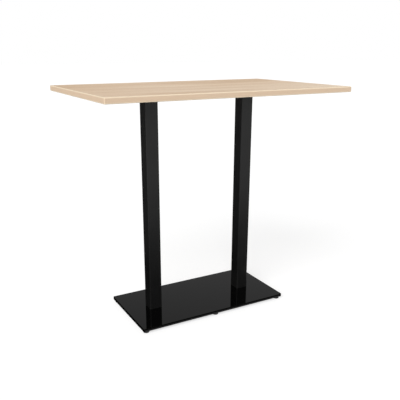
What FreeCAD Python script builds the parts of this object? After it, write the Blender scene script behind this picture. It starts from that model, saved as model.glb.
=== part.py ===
import FreeCAD, Part
import math
import os

os.makedirs("parts", exist_ok=True)

# A high table, in millimetres: a faced board on two square columns that stand on one flat foot plate.
# The origin is on the floor under the middle of the top. X runs along the table, from left to right as
# seen from the front, Y runs from front to back, and Z is up.

# Top
table_height = 1105.0
top_length = 1200.0
top_depth = 750.0
board_thickness = 25.0
edging_thickness = 3.0
edging_flat = 0.2

# Foot plate
plate_length = 800.0
plate_depth = 400.0
plate_thickness = 15.0
plate_corner_radius = 6.0
plate_arris_radius = 1.0

# Columns, cold-formed square tube with a block welded into each end
column_spacing = 515.0
column_width = 63.5
column_wall = 2.0
column_corner_radius = 4.0
least_bend_radius = 0.5
block_thickness = 10.0
weld_gap = 0.1

# Top plates, flat bars across the underside of the board
top_plate_width = 100.0
top_plate_length = 480.0
top_plate_thickness = 5.0
top_plate_corner_radius = 12.0

# Countersunk socket screws, M8 through the foot plate and M6 through the top plates. A margin runs from
# the tube's inner wall to the screw's axis, and a grip is the length in the tapped block.
foot_screw_diameter = 8.0
foot_screw_head = 16.0
foot_screw_key = 5.0
foot_screw_margin = 11.0
foot_screw_grip = 8.0
head_screw_diameter = 6.0
head_screw_head = 12.0
head_screw_key = 4.0
head_screw_margin = 10.0
head_screw_grip = 8.0
screw_head_rim = 0.4
screw_head_sink = 0.2
screw_tip_chamfer = 0.8
screw_seat_clearance = 0.1
screw_hole_clearance = 0.4
tapped_hole_chamfer = 0.5
thread_clearance = 0.05

# Pan-head wood screws that hold the board. The cover is what is left of the board above a screw's tip.
board_screw_diameter = 5.0
board_screw_head = 9.5
board_screw_head_height = 3.2
board_screw_head_bevel = 1.2
board_screw_cover = 9.0
board_screw_tip = 4.0
board_screw_hole_clearance = 0.3
board_screw_recess_width = 1.2
board_screw_recess_span = 5.0
board_screw_recess_depth = 2.0
board_screw_row_spacing = 70.0
board_screw_end_margin = 25.0
board_screw_middle_offset = 110.0

# Levelling glides: a moulded shoe that swivels on the flat head of a threaded stud
glide_inset = 21.0
pad_diameter = 30.0
pad_taper = 1.5
pad_sole_radius = 1.5
pad_sole_thickness = 4.0
pad_lip_thickness = 4.4
pad_key_hole = 6.4
pad_lip_clearance = 0.3
stud_diameter = 8.0
stud_head_ledge = 1.5
stud_head_height = 3.5
stud_key = 5.0
stud_key_depth = 2.8
stud_tip_chamfer = 0.8
stud_end_gap = 1.0
stud_hole_skin = 4.0
swivel_clearance = 0.05

# Sizes and places that follow from those above
stud_head = stud_diameter + 2 * stud_head_ledge
pad_socket_top = pad_sole_thickness + stud_head_height + 2 * swivel_clearance
glide_height = pad_socket_top + pad_lip_thickness
plate_top = glide_height + plate_thickness
board_length = top_length - 2 * edging_thickness
board_depth = top_depth - 2 * edging_thickness
board_underside = table_height - board_thickness
board_screw_grip = board_thickness - board_screw_cover
top_plate_underside = board_underside - top_plate_thickness
column_bore = column_width - 2 * column_wall
column_inner_radius = max(column_corner_radius - column_wall, least_bend_radius)
foot_screw_spacing = column_bore - 2 * foot_screw_margin
head_screw_spacing = column_bore - 2 * head_screw_margin
column_places = {"left": -column_spacing / 2, "right": column_spacing / 2}
glide_x = plate_length / 2 - glide_inset
glide_y = plate_depth / 2 - glide_inset
glide_columns = {"left": -glide_x, "middle": 0.0, "right": glide_x}
glide_rows = {"front": -glide_y, "back": glide_y}
stud_hole_depth = plate_thickness - stud_hole_skin
over_cut = 1.0


def is_upright(edge):
    """Whether an edge's two ends stand one above the other."""
    return edge.BoundBox.ZLength > max(edge.BoundBox.XLength, edge.BoundBox.YLength)


def rounded_slab(length, depth, height, corner_radius, z):
    """A slab centred on the Z axis that stands on height z, with its upright edges rounded."""
    corner = FreeCAD.Vector(-length / 2, -depth / 2, z)
    slab = Part.makeBox(length, depth, height, corner)
    return slab.makeFillet(corner_radius, [edge for edge in slab.Edges if is_upright(edge)])


def turned(profile):
    """A solid turned about the Z axis from a closed half profile of (radius, height) points."""
    corners = [FreeCAD.Vector(radius, 0, height) for radius, height in profile]
    outline = Part.makePolygon(corners + corners[:1])
    return Part.Face(outline).revolve(FreeCAD.Vector(), FreeCAD.Vector(0, 0, 1), 360)


def hexagon(across_flats, z, height):
    """A six-sided bar on the Z axis, for a key socket."""
    radius = across_flats / math.sqrt(3)
    angles = [math.radians(60 * step) for step in range(7)]
    corners = [FreeCAD.Vector(radius * math.cos(a), radius * math.sin(a), z) for a in angles]
    return Part.Face(Part.makePolygon(corners)).extrude(FreeCAD.Vector(0, 0, height))


def placed(shape, x, y, z, upside_down=False):
    """A copy of a shape that was made on the origin, turned over if asked and moved to its place."""
    half_turn = FreeCAD.Rotation(FreeCAD.Vector(1, 0, 0), 180 if upside_down else 0)
    copy = shape.copy()
    copy.Placement = FreeCAD.Placement(FreeCAD.Vector(x, y, z), half_turn)
    return copy


def square(spacing):
    """The four corners of a square about the origin."""
    half = spacing / 2
    return [(x, y) for x in (-half, half) for y in (-half, half)]


def countersunk_screw(diameter, head, length, key):
    """A countersunk socket screw, its head's face on height 0 and its shank pointing up."""
    radius = diameter / 2
    cone = head / 2 - radius
    screw = turned([
        (0, 0),
        (head / 2, 0),
        (head / 2, screw_head_rim),
        (radius, screw_head_rim + cone),
        (radius, length - screw_tip_chamfer),
        (radius - screw_tip_chamfer, length),
        (0, length),
    ])
    return screw.cut(hexagon(key, -over_cut, over_cut + screw_head_rim + cone))


def countersunk_hole(diameter, head, thickness):
    """The cutter for such a screw's hole through a plate whose face is on height 0."""
    hole = diameter / 2 + screw_hole_clearance
    mouth = head / 2 + screw_seat_clearance
    rim = screw_head_sink + screw_head_rim
    return turned([
        (0, -over_cut),
        (mouth, -over_cut),
        (mouth, rim),
        (hole, rim + mouth - hole),
        (hole, thickness + over_cut),
        (0, thickness + over_cut),
    ])


def board_screw_places():
    """The wood screws of one top plate: one in each corner and two on its centre line."""
    end = top_plate_length / 2 - board_screw_end_margin
    side = board_screw_row_spacing / 2
    corners = [(x, y) for x in (-side, side) for y in (-end, end)]
    return corners + [(0, -board_screw_middle_offset), (0, board_screw_middle_offset)]


def top_slab(length, depth, x, y):
    """A plain block as thick as the board and level with it, about the point x, y."""
    corner = FreeCAD.Vector(x - length / 2, y - depth / 2, board_underside)
    return Part.makeBox(length, depth, board_thickness, corner)


def table_board():
    """The chipboard core with its faces, drilled from below for the wood screws."""
    board = top_slab(board_length, board_depth, 0, 0)
    radius = board_screw_diameter / 2 + thread_clearance
    pilot = turned([
        (0, -over_cut),
        (radius, -over_cut),
        (radius, board_screw_grip - board_screw_tip + thread_clearance),
        (0, board_screw_grip + thread_clearance),
    ])
    pilots = [
        placed(pilot, column_x + x, y, board_underside)
        for column_x in column_places.values()
        for x, y in board_screw_places()
    ]
    return board.cut(Part.makeCompound(pilots))


def edging_strips():
    """Four strips round the board, the long ones over the ends of the short ones, rounded all together."""
    slab = top_slab(top_length, top_depth, 0, 0)
    slab = slab.makeFillet(edging_thickness - edging_flat, slab.Edges)
    across = (board_length + edging_thickness) / 2
    along = (board_depth + edging_thickness) / 2
    return {
        "front": slab.common(top_slab(top_length, edging_thickness, 0, -along)),
        "back": slab.common(top_slab(top_length, edging_thickness, 0, along)),
        "left": slab.common(top_slab(edging_thickness, board_depth, -across, 0)),
        "right": slab.common(top_slab(edging_thickness, board_depth, across, 0)),
    }


def column():
    """One square tube, from the foot plate to its top plate."""
    length = top_plate_underside - plate_top
    outside = rounded_slab(column_width, column_width, length, column_corner_radius, plate_top)
    return outside.cut(rounded_slab(column_bore, column_bore, length, column_inner_radius, plate_top))


def tapped_hole(diameter, depth):
    """The cutter for a tapped hole with a chamfered mouth on height 0, running up."""
    radius = diameter / 2 + thread_clearance
    return turned([
        (0, -over_cut),
        (radius + tapped_hole_chamfer, -over_cut),
        (radius + tapped_hole_chamfer, 0),
        (radius, tapped_hole_chamfer),
        (radius, depth),
        (0, depth),
    ])


def end_block(screw_diameter, screw_spacing):
    """A block that fills the end of a column, its outer face on height 0, tapped through for four screws."""
    side = column_bore - 2 * weld_gap
    block = rounded_slab(side, side, block_thickness, column_inner_radius, 0)
    tapped = tapped_hole(screw_diameter, block_thickness + over_cut)
    holes = [placed(tapped, x, y, 0) for x, y in square(screw_spacing)]
    return block.cut(Part.makeCompound(holes))


def top_plate():
    """The flat bar on a column's head, countersunk on top and drilled for the wood screws."""
    plate = rounded_slab(
        top_plate_width, top_plate_length, top_plate_thickness, top_plate_corner_radius, top_plate_underside
    )
    sunk = countersunk_hole(head_screw_diameter, head_screw_head, top_plate_thickness)
    drill = Part.makeCylinder(board_screw_diameter / 2 + board_screw_hole_clearance, top_plate_thickness)
    holes = [placed(sunk, x, y, board_underside, True) for x, y in square(head_screw_spacing)]
    holes += [placed(drill, x, y, top_plate_underside) for x, y in board_screw_places()]
    return plate.cut(Part.makeCompound(holes))


def head_screws():
    """Four screws from the top plate down into the head block."""
    length = top_plate_thickness - screw_head_sink + head_screw_grip
    screw = countersunk_screw(head_screw_diameter, head_screw_head, length, head_screw_key)
    head_face = board_underside - screw_head_sink
    return Part.makeCompound([placed(screw, x, y, head_face, True) for x, y in square(head_screw_spacing)])


def foot_screws():
    """Four screws from under the foot plate up into the foot block."""
    length = plate_thickness - screw_head_sink + foot_screw_grip
    screw = countersunk_screw(foot_screw_diameter, foot_screw_head, length, foot_screw_key)
    head_face = glide_height + screw_head_sink
    return Part.makeCompound([placed(screw, x, y, head_face) for x, y in square(foot_screw_spacing)])


def board_screws():
    """The wood screws of one top plate, with a cross recess in each head."""
    head = board_screw_head / 2
    radius = board_screw_diameter / 2
    reach = top_plate_thickness + board_screw_grip
    screw = turned([
        (0, -board_screw_head_height),
        (head - board_screw_head_bevel, -board_screw_head_height),
        (head, board_screw_head_bevel - board_screw_head_height),
        (head, 0),
        (radius, 0),
        (radius, reach - board_screw_tip),
        (0, reach),
    ])
    half_width = board_screw_recess_width / 2
    half_span = board_screw_recess_span / 2
    depth = over_cut + board_screw_recess_depth
    low = -board_screw_head_height - over_cut
    along_x = Part.makeBox(
        board_screw_recess_span, board_screw_recess_width, depth, FreeCAD.Vector(-half_span, -half_width, low)
    )
    along_y = Part.makeBox(
        board_screw_recess_width, board_screw_recess_span, depth, FreeCAD.Vector(-half_width, -half_span, low)
    )
    screw = screw.cut(along_x.fuse(along_y))
    return Part.makeCompound([placed(screw, x, y, top_plate_underside) for x, y in board_screw_places()])


def foot_plate():
    """The flat plate, countersunk from below for the columns and with blind tapped holes for the glides."""
    plate = rounded_slab(plate_length, plate_depth, plate_thickness, plate_corner_radius, glide_height)
    plate = plate.makeFillet(plate_arris_radius, [edge for edge in plate.Edges if not is_upright(edge)])
    sunk = countersunk_hole(foot_screw_diameter, foot_screw_head, plate_thickness)
    tapped = tapped_hole(stud_diameter, stud_hole_depth)
    holes = [
        placed(sunk, column_x + x, y, glide_height)
        for column_x in column_places.values()
        for x, y in square(foot_screw_spacing)
    ]
    holes += [placed(tapped, x, y, glide_height) for x in glide_columns.values() for y in glide_rows.values()]
    return plate.cut(Part.makeCompound(holes))


def glide_stud():
    """A threaded stud with a flat head that the shoe swivels on, and a key socket in the head."""
    radius = stud_diameter / 2
    head_low = pad_sole_thickness + swivel_clearance
    head_high = head_low + stud_head_height
    top = glide_height + stud_hole_depth - stud_end_gap
    stud = turned([
        (0, head_low),
        (stud_head / 2, head_low),
        (stud_head / 2, head_high),
        (radius, head_high),
        (radius, top - stud_tip_chamfer),
        (radius - stud_tip_chamfer, top),
        (0, top),
    ])
    return stud.cut(hexagon(stud_key, head_low - over_cut, over_cut + stud_key_depth))


def glide_pad():
    """The moulded shoe: a tapered puck, hollow for the stud's head, with a lip that holds the head in."""
    key_hole = pad_key_hole / 2
    socket = stud_head / 2 + swivel_clearance
    lip = stud_diameter / 2 + pad_lip_clearance
    sole = pad_diameter / 2
    pad = turned([
        (key_hole, 0),
        (sole, 0),
        (sole - pad_taper, glide_height),
        (lip, glide_height),
        (lip, pad_socket_top),
        (socket, pad_socket_top),
        (socket, pad_sole_thickness),
        (key_hole, pad_sole_thickness),
    ])
    rings = [edge for edge in pad.Edges if isinstance(edge.Curve, Part.Circle)]
    sole_edge = max(rings, key=lambda ring: ring.Curve.Radius)
    return pad.makeFillet(pad_sole_radius, [sole_edge])


pieces = {"table_board": table_board(), "foot_plate": foot_plate()}

for side, strip in edging_strips().items():
    pieces[f"{side}_edging"] = strip

foot_block = end_block(foot_screw_diameter, foot_screw_spacing)
head_block = end_block(head_screw_diameter, head_screw_spacing)
column_pieces = {
    "column": column(),
    "foot_block": placed(foot_block, 0, 0, plate_top),
    "foot_screws": foot_screws(),
    "head_block": placed(head_block, 0, 0, top_plate_underside, True),
    "top_plate": top_plate(),
    "head_screws": head_screws(),
    "board_screws": board_screws(),
}
for side, column_x in column_places.items():
    for name, shape in column_pieces.items():
        pieces[f"{side}_{name}"] = shape.translated(FreeCAD.Vector(column_x, 0, 0))

glide_pieces = {"glide_pad": glide_pad(), "glide_stud": glide_stud()}
for row, y in glide_rows.items():
    for side, x in glide_columns.items():
        for name, shape in glide_pieces.items():
            pieces[f"{row}_{side}_{name}"] = shape.translated(FreeCAD.Vector(x, y, 0))

for name, shape in pieces.items():
    shape.exportStep(f"parts/{name}.step")
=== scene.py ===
import math

import bpy
from mathutils import Matrix, Vector


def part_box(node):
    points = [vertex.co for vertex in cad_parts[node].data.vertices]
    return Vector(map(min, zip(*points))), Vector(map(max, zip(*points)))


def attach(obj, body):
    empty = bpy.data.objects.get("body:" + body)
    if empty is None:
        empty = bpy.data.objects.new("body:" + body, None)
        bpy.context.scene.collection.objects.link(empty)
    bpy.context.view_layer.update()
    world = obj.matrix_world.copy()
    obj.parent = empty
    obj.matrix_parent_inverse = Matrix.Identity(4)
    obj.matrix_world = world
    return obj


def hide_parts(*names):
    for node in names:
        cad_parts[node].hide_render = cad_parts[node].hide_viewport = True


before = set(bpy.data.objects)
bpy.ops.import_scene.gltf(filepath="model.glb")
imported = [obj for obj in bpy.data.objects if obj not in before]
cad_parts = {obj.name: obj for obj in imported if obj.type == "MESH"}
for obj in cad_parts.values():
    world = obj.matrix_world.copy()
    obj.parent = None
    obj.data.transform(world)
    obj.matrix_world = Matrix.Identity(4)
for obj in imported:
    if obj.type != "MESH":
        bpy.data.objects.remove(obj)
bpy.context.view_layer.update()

# Levelling glides. Six moulded nylon shoes stand on the floor, and each swivels on the flat head of
# a zinc-plated M8 stud. The stud screws into a blind hole in the foot plate, so that turning it by
# the key socket in its head raises or lowers that corner of the table.
MM = 0.001
GLIDES = [f"{row}_{side}_glide" for row in ("front", "back") for side in ("left", "middle", "right")]
STUD_RADIUS = 4 * MM
STUD_SMOOTHING = math.radians(35)
STUD_HEAD_RADIUS = 5.5 * MM
STUD_HEAD_HEIGHT = 3.5 * MM
STUD_HEAD_SIDES = 48
STUD_HEAD_BEVEL = 0.35 * MM
STUD_HEAD_BEVEL_STEPS = 2
STUD_KEY = 5 * MM
STUD_KEY_DEPTH = 2.8 * MM
STUD_KEY_SIDES = 6
THREAD_PITCH = 1.25 * MM
THREAD_DEPTH = 0.68 * MM
THREAD_ROOT = STUD_RADIUS - THREAD_DEPTH
THREAD_PROFILE = (
    (THREAD_ROOT, 0),
    (THREAD_ROOT, THREAD_PITCH * 4 / 16),
    (STUD_RADIUS, THREAD_PITCH * 9 / 16),
    (STUD_RADIUS, THREAD_PITCH * 11 / 16),
    (THREAD_ROOT, THREAD_PITCH),
)
THREAD_STEPS = 32
THREAD_SPARE_TURNS = 2
THREAD_WELD = 0.001 * MM
THREAD_CUT = 0.0001 * MM
SHANK_SINK = 0.3 * MM
NYLON_BLACK = "#151515"
NYLON_SCUFF = "#2b2a29"
NYLON_SMOOTH = 0.45
NYLON_ROUGH = 0.68
NYLON_SCUFF_SIZE = 8 * MM
NYLON_SCUFF_HEIGHT = 4 * MM
NYLON_SCUFF_LOW = 0.75
NYLON_SCUFF_HIGH = 0.15
# A mould's texture is about 0.1 mm, and zinc is scratched finer still. Both are drawn coarser, to show.
NYLON_TEXTURE = 0.5 * MM
NYLON_TEXTURE_DEPTH = 0.015 * MM
ZINC_PALE = "#cfd2d4"
ZINC_DULL = "#a9adb0"
ZINC_SMOOTH = 0.24
ZINC_ROUGH = 0.46
ZINC_CLOUD = 4 * MM
ZINC_SCRATCH = 0.3 * MM
ZINC_SCRATCH_DEPTH = 0.0025 * MM


def linear(colour):
    """A sRGB hex colour as linear RGBA."""
    parts = [int(colour[start:start + 2], 16) / 255 for start in (1, 3, 5)]
    return [p / 12.92 if p <= 0.04045 else ((p + 0.055) / 1.055) ** 2.4 for p in parts] + [1.0]


def add_node(tree, kind, inputs, output=0, into=None, stops=(), **settings):
    """Adds a node with its settings and a ramp's stops, and gives one of its outputs. An input goes by
    its name or number, and is a value or a socket to link. The output can go into a socket too."""
    node = tree.nodes.new("ShaderNode" + kind)
    for name, value in settings.items():
        setattr(node, name, value)
    for position, colour in stops:
        node.color_ramp.elements.new(position).color = linear(colour)
    for ready_made in (0, -1) if stops else ():
        node.color_ramp.elements.remove(node.color_ramp.elements[ready_made])
    for name, value in inputs.items():
        if isinstance(value, bpy.types.NodeSocket):
            tree.links.new(value, node.inputs[name])
        else:
            node.inputs[name].default_value = value
    if into is not None:
        tree.links.new(node.outputs[output], into)
    return node.outputs[output]


def new_finish(name, **constants):
    """A new material with its constants set, its node tree, its shader's sockets and Object coordinates."""
    material = bpy.data.materials.new(name)
    material.use_nodes = True
    tree = material.node_tree
    sockets = tree.nodes["Principled BSDF"].inputs
    for socket, value in constants.items():
        sockets[socket.replace("_", " ")].default_value = value
    place = add_node(tree, "TexCoord", {}, output="Object")
    return material, tree, sockets, place


def dress(material, *nodes):
    """Gives a finish to CAD nodes."""
    for node in nodes:
        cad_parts[node].material_slots[0].material = material


def nylon_finish():
    """Moulded nylon: black, with a spark-eroded texture and paler scuffs low down near the floor."""
    material, tree, sockets, place = new_finish("moulded_nylon", IOR=1.53)
    scuffs = add_node(tree, "TexNoise", {"Vector": place, "Scale": 1 / NYLON_SCUFF_SIZE, "Detail": 6})
    height = add_node(tree, "SeparateXYZ", {"Vector": place}, output="Z")
    low = add_node(
        tree, "MapRange",
        {"Value": height, "From Max": NYLON_SCUFF_HEIGHT,
         "To Min": NYLON_SCUFF_LOW, "To Max": NYLON_SCUFF_HIGH},
    )
    worn = add_node(tree, "Math", {0: scuffs, 1: low}, operation="MULTIPLY")
    add_node(
        tree, "Mix", {0: worn, 6: linear(NYLON_BLACK), 7: linear(NYLON_SCUFF)},
        output=2, into=sockets["Base Color"], data_type="RGBA",
    )
    add_node(
        tree, "MapRange", {"Value": scuffs, "To Min": NYLON_SMOOTH, "To Max": NYLON_ROUGH},
        into=sockets["Roughness"],
    )
    texture = add_node(tree, "TexNoise", {"Vector": place, "Scale": 1 / NYLON_TEXTURE, "Detail": 3})
    add_node(tree, "Bump", {"Distance": NYLON_TEXTURE_DEPTH, "Height": texture}, into=sockets["Normal"])
    return material


def zinc_finish():
    """Bright zinc plate on turned steel: a cool grey metal, cloudy, with fine scratches from handling."""
    material, tree, sockets, place = new_finish("zinc_plated_steel", Metallic=1.0)
    cloud = add_node(tree, "TexNoise", {"Vector": place, "Scale": 1 / ZINC_CLOUD, "Detail": 4})
    add_node(
        tree, "Mix", {0: cloud, 6: linear(ZINC_PALE), 7: linear(ZINC_DULL)},
        output=2, into=sockets["Base Color"], data_type="RGBA",
    )
    add_node(
        tree, "MapRange", {"Value": cloud, "To Min": ZINC_SMOOTH, "To Max": ZINC_ROUGH},
        into=sockets["Roughness"],
    )
    scratch = add_node(tree, "TexNoise", {"Vector": place, "Scale": 1 / ZINC_SCRATCH, "Detail": 2})
    add_node(tree, "Bump", {"Distance": ZINC_SCRATCH_DEPTH, "Height": scratch}, into=sockets["Normal"])
    return material


def edit_alone(piece):
    """Opens one piece in edit mode, all of it selected."""
    bpy.ops.object.select_all(action="DESELECT")
    piece.select_set(True)
    bpy.context.view_layer.objects.active = piece
    bpy.ops.object.mode_set(mode="EDIT")
    bpy.ops.mesh.select_mode(type="VERT")
    bpy.ops.mesh.select_all(action="SELECT")


def threaded_shank(low, high):
    """A closed threaded rod on the Z axis: one pitch of the profile, drawn point by point from a plane
    merged to one vertex, wound up by Screw and cut square at both ends."""
    bpy.ops.object.select_all(action="DESELECT")
    bpy.ops.mesh.primitive_plane_add(size=THREAD_PITCH, location=(0, 0, 0))
    rod = bpy.context.object
    rod.name = "threaded_shank"
    edit_alone(rod)
    bpy.ops.mesh.merge(type="CENTER")
    points = [Vector((radius, 0, low - THREAD_PITCH + rise)) for radius, rise in THREAD_PROFILE]
    bpy.ops.transform.translate(value=points[0])
    for start, end in zip(points, points[1:]):
        bpy.ops.mesh.extrude_vertices_move(TRANSFORM_OT_translate={"value": end - start})
    bpy.ops.object.mode_set(mode="OBJECT")
    winding = rod.modifiers.new("winding", "SCREW")
    winding.screw_offset = THREAD_PITCH
    winding.iterations = math.ceil((high - low) / THREAD_PITCH) + THREAD_SPARE_TURNS
    winding.steps = winding.render_steps = THREAD_STEPS
    bpy.ops.object.modifier_apply(modifier=winding.name)
    edit_alone(rod)
    bpy.ops.mesh.remove_doubles(threshold=THREAD_WELD)
    for level, upward in ((low, -1), (high, 1)):
        bpy.ops.mesh.select_all(action="SELECT")
        bpy.ops.mesh.bisect(
            plane_co=(0, 0, level), plane_no=(0, 0, upward), use_fill=True, clear_outer=True,
            threshold=THREAD_CUT,
        )
    bpy.ops.mesh.select_all(action="SELECT")
    bpy.ops.mesh.normals_make_consistent(inside=False)
    bpy.ops.object.mode_set(mode="OBJECT")
    return rod


def stud_head(low):
    """The stud's flat head: a bevelled disc with a hexagonal key socket sunk into its lower face."""
    bpy.ops.object.select_all(action="DESELECT")
    bpy.ops.mesh.primitive_cylinder_add(
        vertices=STUD_HEAD_SIDES, radius=STUD_HEAD_RADIUS, depth=STUD_HEAD_HEIGHT,
        location=(0, 0, low + STUD_HEAD_HEIGHT / 2),
    )
    head = bpy.context.object
    bevel = head.modifiers.new("edges", "BEVEL")
    bevel.width = STUD_HEAD_BEVEL
    bevel.segments = STUD_HEAD_BEVEL_STEPS
    bpy.ops.object.select_all(action="DESELECT")
    bpy.ops.mesh.primitive_cylinder_add(
        vertices=STUD_KEY_SIDES, radius=STUD_KEY / math.sqrt(3), depth=2 * STUD_KEY_DEPTH,
        location=(0, 0, low),
    )
    socket = bpy.context.object
    sink = head.modifiers.new("socket", "BOOLEAN")
    sink.object = socket
    sink.operation = "DIFFERENCE"
    bpy.ops.object.select_all(action="DESELECT")
    head.select_set(True)
    bpy.context.view_layer.objects.active = head
    bpy.ops.object.modifier_apply(modifier=bevel.name)
    bpy.ops.object.modifier_apply(modifier=sink.name)
    bpy.ops.object.transform_apply(location=True, rotation=True, scale=True)
    bpy.data.objects.remove(socket)
    return head


zinc = zinc_finish()
nylon = nylon_finish()
first_low, first_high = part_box(f"{GLIDES[0]}_stud")
rod = threaded_shank(first_low.z + STUD_HEAD_HEIGHT - SHANK_SINK, first_high.z)
pattern_stud = stud_head(first_low.z)
shank = pattern_stud.modifiers.new("shank", "BOOLEAN")
shank.object = rod
shank.operation = "UNION"
bpy.ops.object.modifier_apply(modifier=shank.name)
bpy.ops.object.shade_smooth_by_angle(angle=STUD_SMOOTHING)
bpy.data.objects.remove(rod)

for glide in GLIDES:
    low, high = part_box(f"{glide}_stud")
    stud = pattern_stud.copy()
    stud.data = pattern_stud.data.copy()
    stud.name = f"{glide}_threaded_stud"
    stud.data.transform(Matrix.Translation(((low.x + high.x) / 2, (low.y + high.y) / 2, 0)))
    bpy.context.collection.objects.link(stud)
    stud.data.materials.clear()
    stud.data.materials.append(zinc)
    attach(stud, f"{glide}_stud")
    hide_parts(f"{glide}_stud")
    dress(nylon, f"{glide}_pad")
bpy.data.objects.remove(pattern_stud)

# Foot plate. One flat steel plate, laser cut, its corners and arrises eased, sprayed gloss black and
# baked. It lies on the glides and carries both columns.
GLOSS_BLACK = "#030303"
GLOSS_SMOOTH = 0.025
GLOSS_ROUGH = 0.07
GLOSS_HAZE = 90 * MM
GLOSS_HAZE_LEAST = 0.35
GLOSS_HAZE_MOST = 0.75
GLOSS_PEEL = 4 * MM
GLOSS_PEEL_DEPTH = 0.001 * MM


def gloss_paint_finish():
    """Gloss black stove enamel: near black, mirror smooth, with a faint orange peel and wiped haze."""
    material, tree, sockets, place = new_finish(
        "gloss_black_enamel", Base_Color=linear(GLOSS_BLACK), IOR=1.5, Specular_IOR_Level=0.17
    )
    haze = add_node(tree, "TexNoise", {"Vector": place, "Scale": 1 / GLOSS_HAZE, "Detail": 5})
    add_node(
        tree, "MapRange",
        {"Value": haze, "From Min": GLOSS_HAZE_LEAST, "From Max": GLOSS_HAZE_MOST,
         "To Min": GLOSS_SMOOTH, "To Max": GLOSS_ROUGH},
        into=sockets["Roughness"],
    )
    peel = add_node(tree, "TexNoise", {"Vector": place, "Scale": 1 / GLOSS_PEEL, "Detail": 0})
    add_node(tree, "Bump", {"Distance": GLOSS_PEEL_DEPTH, "Height": peel}, into=sockets["Normal"])
    return material


dress(gloss_paint_finish(), "foot_plate")

# Column ends. A steel block is welded into each end of a column and tapped. Four countersunk socket
# screws come up through the foot plate into the lower block, and four come down into the upper one.
SIDES = ("left", "right")
STEEL_GREY = "#8d8e90"
STEEL_BLUED = "#6f7175"
STEEL_SMOOTH = 0.35
STEEL_ROUGH = 0.6
STEEL_CLOUD = 15 * MM
SAW_SPACING = 1.2 * MM
SAW_DEPTH = 0.02 * MM
SAW_WANDER = 1.5


def bare_steel_finish():
    """Sawn mild steel: a dull cloudy grey with saw marks, blued by the heat of the weld."""
    material, tree, sockets, place = new_finish("sawn_mild_steel", Metallic=1.0)
    cloud = add_node(tree, "TexNoise", {"Vector": place, "Scale": 1 / STEEL_CLOUD, "Detail": 5})
    add_node(
        tree, "Mix", {0: cloud, 6: linear(STEEL_GREY), 7: linear(STEEL_BLUED)},
        output=2, into=sockets["Base Color"], data_type="RGBA",
    )
    add_node(
        tree, "MapRange", {"Value": cloud, "To Min": STEEL_SMOOTH, "To Max": STEEL_ROUGH},
        into=sockets["Roughness"],
    )
    # A wave of scale 1 has a tenth of pi from crest to crest.
    marks = add_node(
        tree, "TexWave",
        {"Vector": place, "Scale": math.pi / 10 / SAW_SPACING, "Distortion": SAW_WANDER}, output=1,
    )
    add_node(tree, "Bump", {"Distance": SAW_DEPTH, "Height": marks}, into=sockets["Normal"])
    return material


dress(bare_steel_finish(), *[f"{side}_{end}_block" for side in SIDES for end in ("foot", "head")])
dress(zinc, *[f"{side}_{end}_screws" for side in SIDES for end in ("foot", "head")])

# Columns. Two lengths of cold-formed square steel tube, powder coated satin black, that stand on
# the foot plate and carry the top plates.
SATIN_BLACK = "#090909"
SATIN_SMOOTH = 0.35
SATIN_ROUGH = 0.43
SATIN_CLOUD = 120 * MM
SATIN_CLOUD_LEAST = 0.3
SATIN_CLOUD_MOST = 0.7
SATIN_PEEL = 1.5 * MM
SATIN_PEEL_DEPTH = 0.004 * MM


def satin_paint_finish():
    """Satin black powder coat: melts into a fine orange peel, so highlights are broad and soft."""
    material, tree, sockets, place = new_finish(
        "satin_black_powder_coat", Base_Color=linear(SATIN_BLACK), IOR=1.5, Specular_IOR_Level=0.35
    )
    cloud = add_node(tree, "TexNoise", {"Vector": place, "Scale": 1 / SATIN_CLOUD, "Detail": 4})
    add_node(
        tree, "MapRange",
        {"Value": cloud, "From Min": SATIN_CLOUD_LEAST, "From Max": SATIN_CLOUD_MOST,
         "To Min": SATIN_SMOOTH, "To Max": SATIN_ROUGH},
        into=sockets["Roughness"],
    )
    peel = add_node(tree, "TexNoise", {"Vector": place, "Scale": 1 / SATIN_PEEL, "Detail": 1})
    add_node(tree, "Bump", {"Distance": SATIN_PEEL_DEPTH, "Height": peel}, into=sockets["Normal"])
    return material


dress(satin_paint_finish(), *[f"{side}_column" for side in SIDES])

# Top plates. Two flat steel bars, powder coated in a coarse matt black, one across the head of each
# column. Six zinc-plated pan-head wood screws hold each one to the underside of the board.
MATT_BLACK = "#1c1c1c"
MATT_SMOOTH = 0.55
MATT_ROUGH = 0.75
MATT_GRAIN = 0.8 * MM
MATT_GRAIN_DEPTH = 0.025 * MM


def matt_paint_finish():
    """Structured matt black powder coat: a dense sandy grain with little shine."""
    material, tree, sockets, place = new_finish(
        "structured_black_powder_coat", Base_Color=linear(MATT_BLACK), IOR=1.5, Specular_IOR_Level=0.3
    )
    grain = add_node(tree, "TexNoise", {"Vector": place, "Scale": 1 / MATT_GRAIN, "Detail": 3})
    add_node(
        tree, "MapRange", {"Value": grain, "To Min": MATT_SMOOTH, "To Max": MATT_ROUGH},
        into=sockets["Roughness"],
    )
    add_node(tree, "Bump", {"Distance": MATT_GRAIN_DEPTH, "Height": grain}, into=sockets["Normal"])
    return material


dress(matt_paint_finish(), *[f"{side}_top_plate" for side in SIDES])
dress(zinc, *[f"{side}_board_screws" for side in SIDES])

# Board. A 25 mm chipboard with a melamine face on both sides, printed with light oak in full-length
# flitches and pressed with a fine pore. The grain runs the length of the table.
OAK_DARKEST = 0.2
OAK_PALEST = 0.8
OAK_TONES = ((0.12, "#c7a988"), (0.36, "#d1b494"), (0.56, "#d9c1a6"), (0.9, "#e5d2b8"))
FLITCH_WIDTH = 260 * MM
FLITCH_DRIFT = 110 * MM
FLITCH_WANDER = (770 * MM, 250 * MM)
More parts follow.
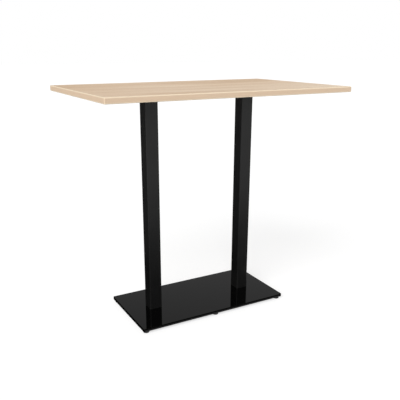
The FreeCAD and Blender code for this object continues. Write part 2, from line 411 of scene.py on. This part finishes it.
# The heart of the log lies this deep under the middle of the print, and deeper by this much a metre.
HEART_DEPTH = 12 * MM
HEART_LEAN = 0.055
RING_SPACING = 11 * MM
RING_WEIGHT = 0.03
BAND_SIZE = (1110 * MM, 133 * MM)
BAND_WEIGHT = 0.6
STREAK_SIZE = (455 * MM, 8.3 * MM)
STREAK_WEIGHT = 0.34
# Painted light and shade: the print is drawn paler along the grain to the right, and darker across it to
# the back.
PAINTED_LIGHT_SLOPE = (0.11, -0.25, 0)
# Oak pores are about 10 mm long and 0.3 mm wide. They are drawn longer and wider, to show.
PORE_SIZE = (36 * MM, 1.25 * MM)
PORE_DEPTH = 0.018 * MM
PORE_SHADE = 0.84
PORE_EDGE = 0.56
PORE_MIDDLE = 0.7
MELAMINE_SMOOTH = 0.52
MELAMINE_ROUGH = 0.66


def grain_figure(tree, plane, size, detail):
    """One figure of the oak, as long along the grain and as wide across it as its size says."""
    drawn_out = add_node(tree, "VectorMath", {0: plane, 1: (*size, 1)}, operation="DIVIDE")
    return add_node(
        tree, "TexNoise", {"Vector": drawn_out, "Scale": 1, "Detail": detail}, noise_dimensions="2D"
    )


def oak_print(tree, along, across, drift):
    """The oak decor's colour and its pores' shade, from two sockets in metres along and across the grain.
    Rings run round a heart that leans through the flitch, under broad bands, streaks and pores."""
    plane = add_node(tree, "CombineXYZ", {"X": along, "Y": across})
    wander = grain_figure(tree, plane, FLITCH_WANDER, detail=2)
    drifted = add_node(tree, "Math", {0: wander, 1: drift, 2: across}, operation="MULTIPLY_ADD")
    flitch = add_node(tree, "Math", {0: drifted, 1: FLITCH_WIDTH / 2}, operation="PINGPONG")
    depth = add_node(tree, "Math", {0: along, 1: HEART_LEAN, 2: HEART_DEPTH}, operation="MULTIPLY_ADD")
    from_heart = add_node(tree, "CombineXYZ", {"X": flitch, "Y": depth})
    radius = add_node(tree, "VectorMath", {0: from_heart}, output="Value", operation="LENGTH")
    turn = add_node(tree, "Math", {0: radius, 1: 2 * math.pi / RING_SPACING}, operation="MULTIPLY")
    rings = add_node(tree, "Math", {0: turn}, operation="SINE")
    band = grain_figure(tree, plane, BAND_SIZE, detail=1.5)
    streak = grain_figure(tree, plane, STREAK_SIZE, detail=3)
    # The tone starts from the painted light and shade, paler to the right and darker to the back.
    tone = add_node(
        tree, "VectorMath", {0: plane, 1: PAINTED_LIGHT_SLOPE}, output="Value", operation="DOT_PRODUCT"
    )
    for figure, weight in ((band, BAND_WEIGHT), (rings, RING_WEIGHT), (streak, STREAK_WEIGHT)):
        tone = add_node(tree, "Math", {0: figure, 1: weight, 2: tone}, operation="MULTIPLY_ADD")
    tone = add_node(tree, "MapRange", {"Value": tone, "From Min": OAK_DARKEST, "From Max": OAK_PALEST})
    oak = add_node(tree, "ValToRGB", {"Fac": tone}, stops=OAK_TONES)
    pore = grain_figure(tree, plane, PORE_SIZE, detail=2)
    shade = add_node(
        tree, "MapRange",
        {"Value": pore, "From Min": PORE_EDGE, "From Max": PORE_MIDDLE, "To Min": 1, "To Max": PORE_SHADE},
    )
    return add_node(tree, "VectorMath", {0: oak, "Scale": shade}, operation="SCALE"), shade


def melamine_finish():
    """Melamine with an oak print: satin, a little rougher and sunk where the pores are pressed."""
    material, tree, sockets, place = new_finish("oak_melamine", IOR=1.5, Specular_IOR_Level=0.3)
    axes = add_node(tree, "SeparateXYZ", {"Vector": place}).node.outputs
    colour, shade = oak_print(tree, axes["X"], axes["Y"], FLITCH_DRIFT)
    tree.links.new(colour, sockets["Base Color"])
    add_node(
        tree, "MapRange",
        {"Value": shade, "From Min": PORE_SHADE, "To Min": MELAMINE_ROUGH, "To Max": MELAMINE_SMOOTH},
        into=sockets["Roughness"],
    )
    add_node(tree, "Bump", {"Distance": PORE_DEPTH, "Height": shade}, into=sockets["Normal"])
    return material


dress(melamine_finish(), "table_board")

# Edging. Four strips of 3 mm ABS, printed with the same oak and glued on, the long strips over the
# ends of the short ones. The cutter that rounds their arrises goes through the print to the plain
# cream plastic, which shows as a pale line, and fainter at the upright corners, where it takes less.
ABS_CREAM = "#e4d2b7"
OAK_EDGE = "#dac4ad"
EDGING_PRINTED = 0.5
EDGING_MILLED = 0.38
# The cutter, and the scraper after it, take the print off this far from each arris.
EDGING_SCRAPED = 3.7 * MM
EDGING_FADE = 0.25 * MM
EDGING_DRIFT = 6 * MM
# A strip's print is calmer than the board's: this much of it is one even tone.
EDGING_CALM = 0.6
EDGING_PORE_DEPTH = 0.0125 * MM
CORNER_CREAM = 0.3

front_low, front_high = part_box("front_edging")
half_top = (front_high.x - front_low.x) / 2


def edging_finish(name, grain, has_corners):
    """ABS edging: the oak print on the flat of the strip, cream plastic where the arrises are milled.
    Only the long strips, which lie over the ends of the short ones, have upright corners."""
    material, tree, sockets, place = new_finish(name, IOR=1.53, Specular_IOR_Level=0.3)
    axes = add_node(tree, "SeparateXYZ", {"Vector": place}).node.outputs
    colour, shade = oak_print(tree, axes[grain], axes["Z"], EDGING_DRIFT)
    low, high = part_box("table_board")
    height = add_node(tree, "Math", {0: axes["Z"], 1: (low.z + high.z) / 2}, operation="SUBTRACT")
    edges = [(height, (high.z - low.z) / 2, 1)]
    if has_corners:
        edges.append((axes[grain], half_top, CORNER_CREAM))
    milled = 0
    for offset, half, most in edges:
        distance = add_node(tree, "Math", {0: offset}, operation="ABSOLUTE")
        print_end = half - EDGING_SCRAPED
        cream = add_node(
            tree, "MapRange",
            {"Value": distance, "From Min": print_end - EDGING_FADE, "From Max": print_end + EDGING_FADE,
             "To Max": most},
        )
        milled = add_node(tree, "Math", {0: milled, 1: cream}, operation="MAXIMUM")
    calm = add_node(
        tree, "Mix", {0: EDGING_CALM, 6: colour, 7: linear(OAK_EDGE)}, output=2, data_type="RGBA"
    )
    add_node(
        tree, "Mix", {0: milled, 6: calm, 7: linear(ABS_CREAM)},
        output=2, into=sockets["Base Color"], data_type="RGBA",
    )
    add_node(
        tree, "MapRange", {"Value": milled, "To Min": EDGING_PRINTED, "To Max": EDGING_MILLED},
        into=sockets["Roughness"],
    )
    add_node(tree, "Bump", {"Distance": EDGING_PORE_DEPTH, "Height": shade}, into=sockets["Normal"])
    return material


dress(edging_finish("oak_abs_long_edging", "X", has_corners=True), "front_edging", "back_edging")
dress(edging_finish("oak_abs_short_edging", "Y", has_corners=False), "left_edging", "right_edging")

# Floor and surroundings. A plain pale floor, which shows white to the eye and in reflections and is
# clear from below, runs out to a white backdrop. Above the backdrop hangs a dimmer ceiling.
FLOOR_SIZE = 80.0
FLOOR_GREY = "#adadad"
FLOOR_WHITE = "#ffffff"
FLOOR_LIFT = 0.62
SKY_TONES = ((0.25, "#ffffff"), (0.36, "#b4b4b4"))

bpy.ops.object.select_all(action="DESELECT")
bpy.ops.mesh.primitive_plane_add(size=FLOOR_SIZE, location=(0, 0, 0))
floor = bpy.context.object
floor.name = "floor"
floor_paint = bpy.data.materials.new("pale_floor")
floor_paint.use_nodes = True
tree = floor_paint.node_tree
tree.nodes.clear()
matt = add_node(tree, "BsdfDiffuse", {"Color": linear(FLOOR_GREY)})
ray = add_node(tree, "LightPath", {}).node.outputs
shown = add_node(tree, "Math", {0: ray["Is Camera Ray"], 1: ray["Is Glossy Ray"]}, operation="ADD")
shown = add_node(tree, "Math", {0: shown, 1: ray["Is Transmission Ray"]}, operation="ADD", use_clamp=True)
lift = add_node(tree, "Math", {0: shown, 1: FLOOR_LIFT}, operation="MULTIPLY")
glow = add_node(tree, "Emission", {"Color": linear(FLOOR_WHITE), "Strength": lift})
solid = add_node(tree, "AddShader", {0: matt, 1: glow})
below = add_node(tree, "NewGeometry", {}, output="Backfacing")
clear = add_node(tree, "BsdfTransparent", {})
surface = add_node(tree, "MixShader", {0: below, 1: solid, 2: clear})
tree.links.new(surface, tree.nodes.new("ShaderNodeOutputMaterial").inputs["Surface"])
floor.data.materials.append(floor_paint)

world = bpy.data.worlds.new("studio")
bpy.context.scene.world = world
world.use_nodes = True
tree = world.node_tree
direction = add_node(tree, "TexCoord", {}, output="Generated")
height = add_node(tree, "SeparateXYZ", {"Vector": direction}, output="Z")
add_node(tree, "ValToRGB", {"Fac": height}, into=tree.nodes["Background"].inputs["Color"], stops=SKY_TONES)

# Light. One broad soft lamp high in front and to the left, level enough with all three near faces
# that the top, the front and the left side are lit alike and the arrises between them shine.
LAMP_DIRECTION = Vector((1.17, 0.9, -1.02))
LAMP_STRENGTH = 3.05
LAMP_SPREAD = math.radians(50)

lamp_data = bpy.data.lights.new("soft_lamp", "SUN")
lamp_data.energy = LAMP_STRENGTH
lamp_data.angle = LAMP_SPREAD
lamp = bpy.data.objects.new("soft_lamp", lamp_data)
lamp.rotation_euler = LAMP_DIRECTION.to_track_quat("-Z", "Y").to_euler()
bpy.context.collection.objects.link(lamp)

# Painted dark reflections. A grey sheet hangs behind the table's left end and runs out over the floor, with
# black sheets close round the foot plate, so that the black columns show painted dark sides in the white
# room. The sheets are there for reflections alone: they throw no shadow, light nothing, and no camera sees
# them.
REFLECTED_SHADE_GREY = "#464646"
REFLECTED_SHADE_BLACK = "#060606"
SHADE_SHEET_LIFT = 1 * MM
SHADE_SHEET_FOLD = 0.7
SHADE_SHEET_DROP = 3.0
SHADE_SHEET_FADE = 1.3
# Each sheet gives the colour of the painted shade it shows in reflections, then two opposite corners.
PAINTED_SHADE_SHEETS = {
    "painted_shade_hanging": (REFLECTED_SHADE_GREY, (-6.0, SHADE_SHEET_DROP, SHADE_SHEET_LIFT), (0.3, SHADE_SHEET_DROP, 2.5)),
    "painted_shade_far": (REFLECTED_SHADE_GREY, (-6.0, SHADE_SHEET_FOLD, SHADE_SHEET_LIFT), (0.3, SHADE_SHEET_DROP, SHADE_SHEET_LIFT)),
    "painted_shade_behind": (REFLECTED_SHADE_BLACK, (-6.0, 0.19, SHADE_SHEET_LIFT), (0.3, SHADE_SHEET_FOLD, SHADE_SHEET_LIFT)),
    "painted_shade_beside": (REFLECTED_SHADE_BLACK, (-2.4, -0.25, SHADE_SHEET_LIFT), (-0.39, 0.19, SHADE_SHEET_LIFT)),
    "painted_shade_before": (REFLECTED_SHADE_BLACK, (-1.0, -1.3, SHADE_SHEET_LIFT), (1.8, -0.232, SHADE_SHEET_LIFT)),
}

for name, (colour, start, end) in PAINTED_SHADE_SHEETS.items():
    span = Vector(end) - Vector(start)
    hangs = span.z > 0
    bpy.ops.object.select_all(action="DESELECT")
    bpy.ops.mesh.primitive_plane_add(
        size=1, location=(Vector(start) + Vector(end)) / 2, rotation=(math.pi / 2 if hangs else 0, 0, 0)
    )
    sheet = bpy.context.object
    sheet.name = name
    sheet.scale = (span.x, span.z if hangs else span.y, 1)
    shade_paint, tree, sockets, place = new_finish(name, Base_Color=linear(colour), Specular_IOR_Level=0.0)
    if hangs:
        # The sheet's own width runs from -0.5 to 0.5. Its right edge thins out to nothing.
        across = add_node(tree, "SeparateXYZ", {"Vector": place}, output="X")
        add_node(
            tree, "MapRange",
            {"Value": across, "From Min": 0.5 - SHADE_SHEET_FADE / span.x, "From Max": 0.5,
             "To Min": 1, "To Max": 0},
            into=sockets["Alpha"],
        )
    sheet.data.materials.append(shade_paint)
    sheet.visible_camera = sheet.visible_diffuse = sheet.visible_shadow = False

# Camera. It stands in front of the table's left end, a little above the top. Its lens, shift and
# place were fitted to the straight edges of the table in the photograph.
IMAGE_SIZE = 400
SENSOR_WIDTH = 36
FOCAL_PIXELS = 536.27
PRINCIPAL_POINT = (192.96, 222.35)
CAMERA_PLACE = (-1.26691, -2.25458, 1.27649)
CAMERA_TURN = -0.5019
CAMERA_DIP = 0.3155

camera_data = bpy.data.cameras.new("camera")
camera_data.sensor_width = SENSOR_WIDTH
camera_data.lens = FOCAL_PIXELS * SENSOR_WIDTH / IMAGE_SIZE
camera_data.shift_x = (IMAGE_SIZE / 2 - PRINCIPAL_POINT[0]) / IMAGE_SIZE
camera_data.shift_y = (PRINCIPAL_POINT[1] - IMAGE_SIZE / 2) / IMAGE_SIZE
camera = bpy.data.objects.new("camera", camera_data)
camera.location = CAMERA_PLACE
camera.rotation_euler = (math.pi / 2 - CAMERA_DIP, 0, CAMERA_TURN)
bpy.context.collection.objects.link(camera)
bpy.context.scene.camera = camera
bpy.context.scene.view_settings.view_transform = "Standard"
